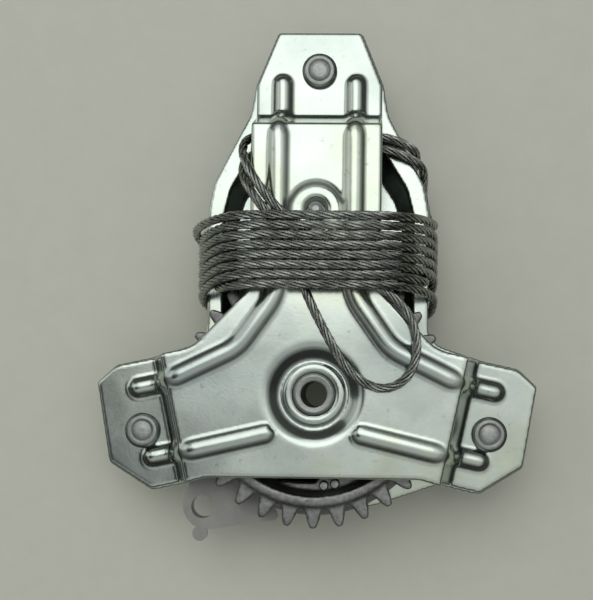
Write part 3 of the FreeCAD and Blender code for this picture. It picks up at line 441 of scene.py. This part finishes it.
def scratch_group():
    """Fine scratches in three directions: a mask of where they lie."""
    tree = bpy.data.node_groups.new("Scratches", "ShaderNodeTree")
    start, end = group_sockets(
        tree,
        (("Vector", "NodeSocketVector", (0.0, 0.0, 0.0)), ("Amount", "NodeSocketFloat", 0.5)),
        (("Mask", "NodeSocketFloat"),),
    )
    total = None
    for turn, long_scale, cross_scale in ((0.35, 30.0, 1900.0), (1.5, 22.0, 1500.0), (2.5, 45.0, 2300.0)):
        vector = stretched(tree, start.outputs["Vector"], (long_scale, cross_scale, long_scale), turn)
        line = ramp_node(tree, noise_node(tree, vector, 1.0, 2.0), ((0.0, 0.0), (0.66, 0.0), (0.72, 1.0)))
        total = line if total is None else math_node(tree, "MAXIMUM", total, line)
    patches = ramp_node(tree, noise_node(tree, start.outputs["Vector"], 55.0), ((0.42, 0.0), (0.62, 1.0)))
    masked = math_node(tree, "MULTIPLY", total, patches)
    tree.links.new(math_node(tree, "MULTIPLY", masked, start.outputs["Amount"]), end.inputs["Mask"])
    return tree


def plating_group():
    """Zinc plating: cloudy tone, a faint blue and yellow bloom, and the sheet's slow waves."""
    tree = bpy.data.node_groups.new("Plating", "ShaderNodeTree")
    start, end = group_sockets(
        tree,
        (("Vector", "NodeSocketVector", (0.0, 0.0, 0.0)), ("Color", "NodeSocketColor", (0.7, 0.7, 0.7, 1.0)),
         ("Bloom", "NodeSocketFloat", 0.3), ("Roughness", "NodeSocketFloat", 0.3)),
        (("Color", "NodeSocketColor"), ("Roughness", "NodeSocketFloat"), ("Height", "NodeSocketFloat")),
    )
    vector = start.outputs["Vector"]
    cloud = noise_node(tree, vector, 62.0, 6.0, 0.62)
    cloudy = mix_node(tree, ramp_node(tree, cloud, ((0.3, 0.0), (0.7, 1.0))), (0.80, 0.82, 0.81, 1.0),
                      (1.0, 1.0, 1.0, 1.0))
    toned = mix_node(tree, 1.0, start.outputs["Color"], cloudy, "MULTIPLY")
    tint = ramp_node(tree, noise_node(tree, vector, 24.0, 4.0, 0.6), (
        (0.30, (0.70, 0.76, 0.86, 1.0)), (0.42, (0.84, 0.83, 0.86, 1.0)), (0.52, (1.0, 1.0, 1.0, 1.0)),
        (0.62, (1.0, 0.96, 0.80, 1.0)), (0.74, (0.84, 0.95, 0.88, 1.0))))
    bloomed = mix_node(tree, start.outputs["Bloom"], toned, mix_node(tree, 1.0, toned, tint, "MULTIPLY"))
    spots = ramp_node(tree, noise_node(tree, vector, 420.0, 4.0, 0.7), ((0.62, 1.0), (0.74, 0.72)))
    tree.links.new(mix_node(tree, 1.0, bloomed, spots, "MULTIPLY"), end.inputs["Color"])
    rough = math_node(tree, "MULTIPLY_ADD", cloud, 0.14, start.outputs["Roughness"])
    tree.links.new(rough, end.inputs["Roughness"])
    tree.links.new(noise_node(tree, vector, 38.0, 1.5, 0.4), end.inputs["Height"])
    return tree


def grain_group():
    """Casting skin, dull patches and dirt: a tone, a roughness and a height."""
    tree = bpy.data.node_groups.new("Grain", "ShaderNodeTree")
    start, end = group_sockets(
        tree,
        (("Vector", "NodeSocketVector", (0.0, 0.0, 0.0)), ("Color", "NodeSocketColor", (0.4, 0.4, 0.4, 1.0)),
         ("Scale", "NodeSocketFloat", 900.0), ("Contrast", "NodeSocketFloat", 0.4),
         ("Roughness", "NodeSocketFloat", 0.28)),
        (("Color", "NodeSocketColor"), ("Roughness", "NodeSocketFloat"), ("Height", "NodeSocketFloat")),
    )
    vector = start.outputs["Vector"]
    grain = noise_node(tree, vector, start.outputs["Scale"], 5.0, 0.7)
    patch = noise_node(tree, vector, 110.0, 4.0, 0.6)
    both = math_node(tree, "MULTIPLY_ADD", grain, 0.6, math_node(tree, "MULTIPLY", patch, 0.4))
    dark = mix_node(tree, ramp_node(tree, both, ((0.38, 0.0), (0.62, 1.0))), (0.45, 0.45, 0.45, 1.0),
                    (1.25, 1.25, 1.22, 1.0))
    graded = mix_node(tree, start.outputs["Contrast"], (1.0, 1.0, 1.0, 1.0), dark)
    tree.links.new(mix_node(tree, 1.0, start.outputs["Color"], graded, "MULTIPLY"), end.inputs["Color"])
    rough = math_node(tree, "MULTIPLY_ADD", patch, 0.3, start.outputs["Roughness"])
    tree.links.new(rough, end.inputs["Roughness"])
    tree.links.new(grain, end.inputs["Height"])
    return tree


def turned_group():
    """Rings that a tool or a riveting punch leaves about an axis: a height, and a colour of painted shade,
    darker in the ring's groove and at the rim.
    """
    tree = bpy.data.node_groups.new("Turned", "ShaderNodeTree")
    start, end = group_sockets(
        tree,
        (("Vector", "NodeSocketVector", (0.0, 0.0, 0.0)), ("Radius", "NodeSocketFloat", 0.0044)),
        (("Height", "NodeSocketFloat"), ("Color", "NodeSocketColor")),
    )
    flat = tree.nodes.new("ShaderNodeVectorMath")
    flat.operation = "MULTIPLY"
    flat.inputs[1].default_value = (1.0, 1.0, 0.0)
    tree.links.new(start.outputs["Vector"], flat.inputs[0])
    far = tree.nodes.new("ShaderNodeVectorMath")
    far.operation = "LENGTH"
    tree.links.new(flat.outputs["Vector"], far.inputs[0])
    share = math_node(tree, "DIVIDE", far.outputs["Value"], start.outputs["Radius"])
    tree.links.new(ramp_node(tree, share, (
        (0.0, 0.62), (0.20, 0.60), (0.40, 0.42), (0.56, 0.12), (0.66, 0.42), (0.82, 0.56), (1.0, 0.10),
    )), end.inputs["Height"])
    # Painted shade: the colour darkens in the groove between the rings and paints a dark outline at the rim.
    wavy = math_node(tree, "MULTIPLY_ADD", noise_node(tree, flat.outputs["Vector"], 420.0), 0.06, share)
    tree.links.new(ramp_node(tree, wavy, (
        (0.0, 0.80), (0.30, 0.95), (0.52, 0.70), (0.60, 0.42), (0.68, 0.80), (0.90, 0.78), (0.99, 0.62),
        (1.0, 0.16),
    )), end.inputs["Color"])
    return tree


def new_material(name):
    """A material with its Principled shader and the object's coordinates."""
    material = bpy.data.materials.new(name)
    material.use_nodes = True
    tree = material.node_tree
    shader = tree.nodes["Principled BSDF"]
    place = tree.nodes.new("ShaderNodeTexCoord").outputs["Object"]
    return material, tree, shader, place


def grouped(tree, name, place, **values):
    """A shared node group in this material, with its own values."""
    node = tree.nodes.new("ShaderNodeGroup")
    node.node_tree = bpy.data.node_groups[name]
    tree.links.new(place, node.inputs["Vector"])
    for key, value in values.items():
        node.inputs[key].default_value = value
    return node


def bump_into(tree, shader, steps):
    """Chain Bump nodes into the shader's normal: height socket and depth in metres."""
    for height, depth in steps:
        node = tree.nodes.new("ShaderNodeBump")
        node.inputs["Distance"].default_value = depth
        tree.links.new(height, node.inputs["Height"])
        for link in shader.inputs["Normal"].links:
            tree.links.new(link.from_socket, node.inputs["Normal"])
        tree.links.new(node.outputs["Normal"], shader.inputs["Normal"])


def plated_material(name, color, roughness, bloom, wave):
    """Zinc-plated sheet, with painted shade that darkens its steep faces: the cut edges and the walls of its
    bends.
    """
    material, tree, shader, place = new_material(name)
    shader.inputs["Metallic"].default_value = 1.0
    plating = grouped(tree, "Plating", place, Color=color, Bloom=bloom, Roughness=roughness)
    marks = grouped(tree, "Scratches", place, Amount=0.09)
    marked = mix_node(tree, marks.outputs["Mask"], plating.outputs["Color"], (0.82, 0.84, 0.84, 1.0))
    upright = tree.nodes.new("ShaderNodeSeparateXYZ")
    tree.links.new(tree.nodes.new("ShaderNodeNewGeometry").outputs["Normal"], upright.inputs[0])
    steepness = math_node(tree, "ABSOLUTE", upright.outputs["Z"])
    # Painted shade: the colour darkens where the face turns steep, at the cut edges and the bend walls.
    painted_steep_shade = ramp_node(tree, steepness, ((0.08, 0.22), (0.34, 1.0)))
    tree.links.new(mix_node(tree, 1.0, marked, painted_steep_shade, "MULTIPLY"), shader.inputs["Base Color"])
    rough = math_node(tree, "ADD", plating.outputs["Roughness"],
                      math_node(tree, "MULTIPLY", marks.outputs["Mask"], 0.18))
    tree.links.new(rough, shader.inputs["Roughness"])
    fine = noise_node(tree, place, 1500.0, 3.0, 0.6)
    bump_into(tree, shader, ((plating.outputs["Height"], wave), (fine, 0.000008)))
    return material


def grain_material(name, color, scale, contrast, depth, metallic=1.0, roughness=0.28):
    """Cast, hardened or sintered metal, and plastic: one grain at its own scale."""
    material, tree, shader, place = new_material(name)
    shader.inputs["Metallic"].default_value = metallic
    grain = grouped(tree, "Grain", place, Color=color, Scale=scale, Contrast=contrast, Roughness=roughness)
    marks = grouped(tree, "Scratches", place, Amount=0.35)
    bright = tuple(min(1.0, value * RUBBED) for value in color[:3]) + (1.0,)
    marked = mix_node(tree, marks.outputs["Mask"], grain.outputs["Color"], bright)
    tree.links.new(marked, shader.inputs["Base Color"])
    tree.links.new(grain.outputs["Roughness"], shader.inputs["Roughness"])
    bump_into(tree, shader, ((grain.outputs["Height"], depth),))
    return material


def turned_material(name, color, centre, radius):
    """A riveted or turned end, ringed about its own axis, with painted shade in its rings and a painted dark
    line of shade at its rim.
    """
    material = grain_material(name, color, scale=1400.0, contrast=0.45, depth=0.00002)
    tree = material.node_tree
    shader = tree.nodes["Principled BSDF"]
    place = tree.nodes.new("ShaderNodeTexCoord").outputs["Object"]
    moved = tree.nodes.new("ShaderNodeMapping")
    moved.inputs["Location"].default_value = (-centre[0], -centre[1], 0.0)
    tree.links.new(place, moved.inputs["Vector"])
    rings = grouped(tree, "Turned", moved.outputs["Vector"], Radius=radius)
    before = shader.inputs["Base Color"].links[0].from_socket
    # The rings' painted shade darkens the metal's colour in the groove and at the rim.
    shaded = mix_node(tree, 1.0, before, rings.outputs["Color"], "MULTIPLY")
    tree.links.new(shaded, shader.inputs["Base Color"])
    bump_into(tree, shader, ((rings.outputs["Height"], 0.0006),))
    return material


def rope_material(name, color):
    """Stranded wire: fine wires laid round each strand, with painted shade in the grooves between them, a
    painted highlight on their crests, and bright where rubbed.
    """
    material = grain_material(name, color, scale=2600.0, contrast=0.9, depth=0.00004, roughness=0.10)
    tree = material.node_tree
    shader = tree.nodes["Principled BSDF"]
    lay = tree.nodes.new("ShaderNodeVectorMath")
    lay.operation = "DOT_PRODUCT"
    lay.inputs[1].default_value = (2 * math.pi / WIRE_LAY, 2 * math.pi * WIRES, 0.0)
    tree.links.new(tree.nodes.new("ShaderNodeTexCoord").outputs["UV"], lay.inputs[0])
    crest = math_node(tree, "MULTIPLY_ADD", math_node(tree, "SINE", lay.outputs["Value"]), 0.5, 0.5)
    before = shader.inputs["Base Color"].links[0].from_socket
    # Painted shade and highlight: the colour darkens in the grooves between the wires and brightens on their
    # crests.
    shade = ramp_node(tree, crest, ((0.0, 0.62), (1.0, 1.12)))
    tree.links.new(mix_node(tree, 1.0, before, shade, "MULTIPLY"), shader.inputs["Base Color"])
    bump_into(tree, shader, ((crest, 0.00005),))
    return material


def nylon_material(name, color):
    """Natural nylon: milky, a little see-through at its edges."""
    material = grain_material(name, color, scale=260.0, contrast=0.25, depth=0.00003, metallic=0.0)
    shader = material.node_tree.nodes["Principled BSDF"]
    shader.inputs["Subsurface Weight"].default_value = 0.25
    shader.inputs["Subsurface Radius"].default_value = (0.002, 0.002, 0.0018)
    return material


# Operators


class REGULATOR_OT_finishes(bpy.types.Operator):
    """Make the node groups and materials, and give each node its finish"""
    bl_idname = "regulator.finishes"
    bl_label = "Finishes"

    def execute(self, context):
        metal = context.scene.regulator_metal
        scratch_group()
        plating_group()
        grain_group()
        turned_group()
        zinc, cast, steel = tuple(metal.zinc), tuple(metal.casting), tuple(metal.steel)
        finishes = {
            "zinc_plate": plated_material("Zinc Plate", zinc, roughness=0.12, bloom=0.6, wave=0.0006),
            "cast_zinc": grain_material("Cast Zinc", cast, scale=950.0, contrast=0.75, depth=0.00009),
            "bright_steel": grain_material("Bright Steel", steel, scale=1400.0, contrast=0.3, depth=0.00002),
            "dark_steel": grain_material("Dark Steel", DARK_STEEL, scale=1200.0, contrast=0.4,
                                         depth=0.00003),
            "spring_steel": grain_material("Spring Steel", SPRING_STEEL, scale=1300.0, contrast=0.4,
                                           depth=0.00002),
            "bronze": grain_material("Bronze", BRONZE, scale=1600.0, contrast=0.4, depth=0.00002),
            "steel_rope": rope_material("Wire Rope", tuple(metal.rope)),
            "nylon": nylon_material("Nylon", tuple(metal.nylon)),
        }
        for name, material in finishes.items():
            material["slot"] = name
        slots = {}
        for row in frame["record"]["subparts"]:
            slots[row["node"]] = row["material_slot"]
        for node, obj in NODES.items():
            for place in obj.material_slots:
                place.material = finishes[slots[node]]
        for node, radius in TURNED_NODES.items():
            low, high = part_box(node)
            rings = turned_material(node.replace("_", " ").title(), steel, (low + high) / 2, radius)
            for place in NODES[node].material_slots:
                place.material = rings
        return {"FINISHED"}


def finish_named(slot):
    """The material made for a slot of the record."""
    for material in bpy.data.materials:
        if material.get("slot") == slot:
            return material
    raise RuntimeError("no finish for %s" % slot)


class REGULATOR_OT_plates(bpy.types.Operator):
    """Pressed front and rear plates, with the soft bends and rounded ribs of pressed sheet"""
    bl_idname = "regulator.plates"
    bl_label = "Pressed Plates"

    def execute(self, context):
        for node, name in (("front_plate", "pressed_front_plate"), ("rear_plate", "pressed_rear_plate")):
            plate = softened(node, name, PLATE_VOXEL, PLATE_ROUNDS)
            ease_faces(plate, FACE_ROUNDS)
            flatten(plate, FLAT_HEIGHTS[node], FLAT_REACH)
            if node == "front_plate":
                press_ribs(plate, FLAT_HEIGHTS[node][0], RIB_SHARE)
                press_dish(plate)
            finish_with(plate, finish_named("zinc_plate"))
            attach(plate, "frame")
        return {"FINISHED"}


class REGULATOR_OT_gear(bpy.types.Operator):
    """Die cast drum gear, its teeth rounded as they leave the die"""
    bl_idname = "regulator.gear"
    bl_label = "Drum Gear"

    def execute(self, context):
        gear = softened("drum_gear", "cast_drum_gear", GEAR_VOXEL, GEAR_ROUNDS)
        finish_with(gear, finish_named("cast_zinc"))
        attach(gear, "drum")
        return {"FINISHED"}


def route_line(name, points, step):
    """Points along the smooth line of a route, read from its own spline."""
    curve = bpy.data.curves.new(name, "CURVE")
    curve.dimensions = "3D"
    spline = curve.splines.new("NURBS")
    spline.points.add(len(points) - 1)
    for place, point in zip(spline.points, points):
        place.co = (point[0] * MM, point[1] * MM, point[2] * MM, 1.0)
    spline.order_u = 3
    spline.use_endpoint_u = True
    curve.resolution_u = 8
    obj = bpy.data.objects.new(name, curve)
    bpy.context.scene.collection.objects.link(obj)
    bpy.context.view_layer.update()
    evaluated = obj.evaluated_get(bpy.context.evaluated_depsgraph_get())
    mesh = bpy.data.meshes.new_from_object(evaluated)
    line = [vertex.co.copy() for vertex in mesh.vertices]
    bpy.data.objects.remove(obj)
    bpy.data.meshes.remove(mesh)
    return even_line(line, step)


def even_line(line, step):
    """The same line with points an even step apart."""
    even = [line[0]]
    left = step
    for start, end in zip(line, line[1:]):
        length = (end - start).length
        while length >= left and length > 0:
            start = start + (end - start) * (left / length)
            even.append(start.copy())
            length = (end - start).length
            left = step
        left -= length
    even.append(line[-1])
    return even


def frames_along(line):
    """A steady pair of cross directions at each point of a line."""
    frames = []
    side = (line[1] - line[0]).normalized().orthogonal().normalized()
    for place in range(len(line)):
        across_points = line[min(place + 1, len(line) - 1)] - line[max(place - 1, 0)]
        tangent = across_points.normalized()
        side = (side - tangent * side.dot(tangent)).normalized()
        frames.append((side.copy(), tangent.cross(side)))
    return frames


def rope_mesh(name, line, rope):
    """A rope of twisted strands round a line."""
    strand_radius = rope.diameter / 2 / (1 + 1 / math.sin(math.pi / rope.strands))
    ring_radius = rope.diameter / 2 - strand_radius
    curve = bpy.data.curves.new(name, "CURVE")
    curve.dimensions = "3D"
    curve.bevel_depth = strand_radius * STRAND_SHARE
    curve.bevel_resolution = 1
    curve.use_fill_caps = True
    frames = frames_along(line)
    for strand in range(rope.strands):
        spline = curve.splines.new("POLY")
        spline.points.add(len(line) - 1)
        travelled = 0.0
        for place, point in enumerate(line):
            if place:
                travelled += (point - line[place - 1]).length
            angle = 2 * math.pi * (travelled / rope.lay + strand / rope.strands)
            side, cross = frames[place]
            on_ring = point + (side * math.cos(angle) + cross * math.sin(angle)) * ring_radius
            spline.points[place].co = (*on_ring, 1.0)
    obj = bpy.data.objects.new(name, curve)
    bpy.context.scene.collection.objects.link(obj)
    choose(obj)
    bpy.ops.object.convert(target="MESH")
    bpy.ops.object.shade_smooth()
    mesh = bpy.context.view_layer.objects.active.data
    for corner in mesh.uv_layers[0].data:
        corner.uv.x *= travelled
    return bpy.context.view_layer.objects.active


class REGULATOR_OT_cable(bpy.types.Operator):
    """The rope's one length: from the drum, wound round the plates, out in a loop and back"""
    bl_idname = "regulator.cable"
    bl_label = "Wound Cable"

    def execute(self, context):
        rope = context.scene.regulator_rope
        line = route_line("cable_route", cable_route(), rope.step)
        cable = rope_mesh("wire_rope", line, rope)
        finish_with(cable, finish_named("steel_rope"))
        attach(cable, "frame")
        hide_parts("cable_belt", "cable_lead_left", "cable_lead_right", "cable_bight")
        return {"FINISHED"}


class REGULATOR_OT_wraps(bpy.types.Operator):
    """The turns of rope that lie in the drum's grooves"""
    bl_idname = "regulator.wraps"
    bl_label = "Drum Wraps"

    def execute(self, context):
        rope = context.scene.regulator_rope
        low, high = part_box("drum_wraps")
        radius = high.x - rope.diameter / 2
        rise = high.z - low.z - rope.diameter
        points = []
        for place in range(WRAP_TURNS * WRAP_CORNERS + 1):
            angle = 2 * math.pi * place / WRAP_CORNERS
            share = place / (WRAP_TURNS * WRAP_CORNERS)
            across = radius / MM * math.cos(angle) * WRAP_SWELL
            along = radius / MM * math.sin(angle) * WRAP_SWELL
            points.append((across, along, (low.z + rope.diameter / 2 + rise * share) / MM))
        line = route_line("wrap_route", points, rope.step)
        wraps = rope_mesh("drum_rope_wraps", line, rope)
        finish_with(wraps, finish_named("steel_rope"))
        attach(wraps, "drum")
        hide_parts("drum_wraps")
        return {"FINISHED"}


class REGULATOR_OT_stage(bpy.types.Operator):
    """Pale floor, soft lamps, surroundings and the camera"""
    bl_idname = "regulator.stage"
    bl_label = "Stage"

    def execute(self, context):
        settings = context.scene.regulator_stage
        self.add_floor(tuple(settings.floor))
        self.add_lamp("Key Lamp", KEY_PLACE, KEY_SIZE, settings.key)
        self.add_lamp("Fill Lamp", FILL_PLACE, FILL_SIZE, settings.fill)
        self.add_surroundings(context.scene)
        self.add_camera(context.scene, settings.lens)
        context.scene.view_settings.view_transform = "Standard"
        return {"FINISHED"}

    def add_floor(self, color):
        """A wide floor just under the studs."""
        bpy.ops.object.select_all(action="DESELECT")
        bpy.ops.mesh.primitive_plane_add(size=FLOOR_SIZE, location=(0, 0, 0))
        floor = bpy.context.view_layer.objects.active
        floor.name = "floor"
        floor.data.transform(Matrix.Translation((0.0, 0.0, CAD_BOX[0].z - FLOOR_GAP)))
        material, tree, shader, place = new_material("Floor")
        grain = grouped(tree, "Grain", place, Color=color, Scale=160.0, Contrast=0.04)
        tree.links.new(grain.outputs["Color"], shader.inputs["Base Color"])
        shader.inputs["Roughness"].default_value = 0.55
        shader.inputs["Specular IOR Level"].default_value = 0.25
        floor.data.materials.append(material)

    def add_lamp(self, name, place, size, power):
        """A soft rectangular lamp aimed at the object."""
        bpy.ops.object.light_add(type="AREA", location=place)
        lamp = bpy.context.view_layer.objects.active
        lamp.name = name
        lamp.data.shape = "RECTANGLE"
        lamp.data.size, lamp.data.size_y = size
        lamp.data.energy = power
        aim = Vector(LAMP_AIM) - Vector(place)
        lamp.rotation_euler = aim.to_track_quat("-Z", "Y").to_euler()

    def add_surroundings(self, scene):
        """A room that is bright overhead, darker toward the viewer and low down, and shaded on the left."""
        world = bpy.data.worlds.new("Room")
        world.use_nodes = True
        scene.world = world
        tree = world.node_tree
        direction = tree.nodes.new("ShaderNodeTexCoord").outputs["Generated"]
        parts = tree.nodes.new("ShaderNodeSeparateXYZ")
        tree.links.new(direction, parts.inputs[0])
        ceiling = ramp_node(tree, parts.outputs["Z"], ((0.0, 0.05), (0.45, 0.07), (0.74, 0.52), (0.9, 1.0)))
        ahead = math_node(tree, "ADD", parts.outputs["Y"], 0.5)
        forward = ramp_node(tree, ahead, ((0.36, 0.55), (0.5, 0.85), (0.6, 1.0)))
        lit = mix_node(tree, 1.0, ceiling, forward, "MULTIPLY")
        dark = tree.nodes.new("ShaderNodeVectorMath")
        dark.operation = "DISTANCE"
        dark.inputs[1].default_value = DARK_SIDE
        tree.links.new(direction, dark.inputs[0])
        shade = ramp_node(tree, dark.outputs["Value"], ((0.0, 0.03), (0.19, 0.04), (0.23, 0.5), (0.3, 1.0)))
        tree.links.new(mix_node(tree, 1.0, lit, shade, "MULTIPLY"), tree.nodes["Background"].inputs["Color"])
        tree.nodes["Background"].inputs["Strength"].default_value = 1.0

    def add_camera(self, scene, lens):
        """The camera above the plates, a little to the right of the axle, as the photograph has it."""
        bpy.ops.object.camera_add(location=CAMERA_PLACE)
        camera = bpy.context.view_layer.objects.active
        turn = Matrix.Identity(4)
        for axis, degrees in CAMERA_TURN:
            turn = turn @ Matrix.Rotation(math.radians(degrees), 4, axis)
        camera.rotation_euler = turn.to_euler()
        camera.data.sensor_width = 36.0
        camera.data.lens = lens
        camera.data.shift_x, camera.data.shift_y = CAMERA_SHIFT
        camera.data.clip_start = 0.01
        scene.camera = camera


class REGULATOR_PT_panel(bpy.types.Panel):
    """The regulator's pieces and their settings"""
    bl_label = "Window Regulator"
    bl_idname = "REGULATOR_PT_panel"
    bl_space_type = "VIEW_3D"
    bl_region_type = "UI"
    bl_category = "Regulator"

    def draw(self, context):
        for operator in OPERATORS:
            self.layout.operator(operator.bl_idname)
        for name, settings in SETTINGS.items():
            box = self.layout.box()
            group = getattr(context.scene, "regulator_" + name)
            for key in settings.__annotations__:
                box.prop(group, key)


OPERATORS = (
    REGULATOR_OT_finishes,
    REGULATOR_OT_plates,
    REGULATOR_OT_gear,
    REGULATOR_OT_cable,
    REGULATOR_OT_wraps,
    REGULATOR_OT_stage,
)
CLASSES = tuple(SETTINGS.values()) + OPERATORS + (REGULATOR_PT_panel,)


def register():
    """Register the classes and hang the settings on the scene."""
    for item in CLASSES:
        bpy.utils.register_class(item)
    for name, settings in SETTINGS.items():
        setattr(bpy.types.Scene, "regulator_" + name, PointerProperty(type=settings))


def unregister():
    """Take the settings and classes away again."""
    for name in SETTINGS:
        delattr(bpy.types.Scene, "regulator_" + name)
    for item in reversed(CLASSES):
        bpy.utils.unregister_class(item)


def main():
    """Build everything in order."""
    register()
    bpy.ops.object.select_all(action="DESELECT")
    bpy.ops.regulator.finishes()
    bpy.ops.regulator.plates()
    bpy.ops.regulator.gear()
    bpy.ops.regulator.cable()
    bpy.ops.regulator.wraps()
    bpy.ops.regulator.stage()


if __name__ == "__main__":
    main()
